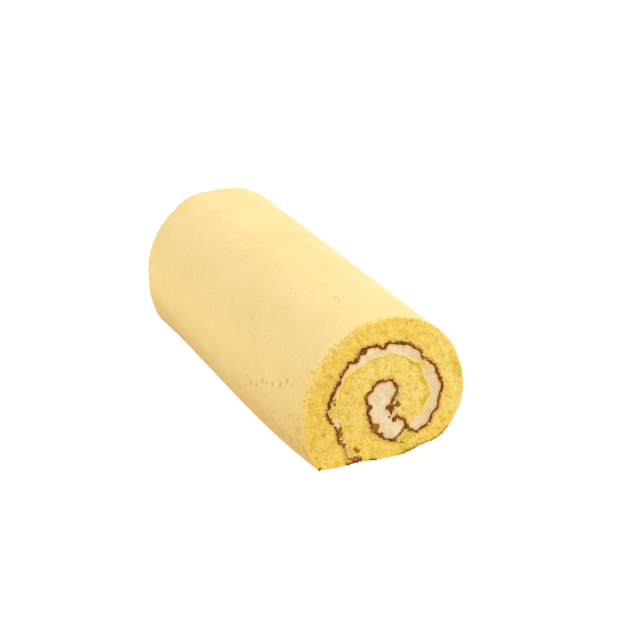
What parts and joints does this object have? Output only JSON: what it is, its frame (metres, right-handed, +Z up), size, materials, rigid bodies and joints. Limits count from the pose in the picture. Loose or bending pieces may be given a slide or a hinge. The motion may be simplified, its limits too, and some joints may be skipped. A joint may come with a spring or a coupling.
{
  "type": "swiss roll cake",
  "caption": "Sheet of sponge cake spread with cream and rolled into a spiral, cut straight at both ends and resting on its flat base.",
  "frame": {"origin": "middle of the base, on the surface that the roll lies on", "axes": "+Y along the roll from the front cut to the back cut, +X to the right of somebody looking at the front cut, +Z up"},
  "size_m": [0.085, 0.194, 0.073],
  "materials": {
    "sponge": "soft porous crumb, matte, stands for baked sponge cake",
    "cream": "smooth with a soft sheen, stands for whipped cream"
  },
  "bodies": {
    "root": {"sponge_sheet": "sponge", "cream_wrap": "cream", "cream_core": "cream"}
  },
  "joints": []
}
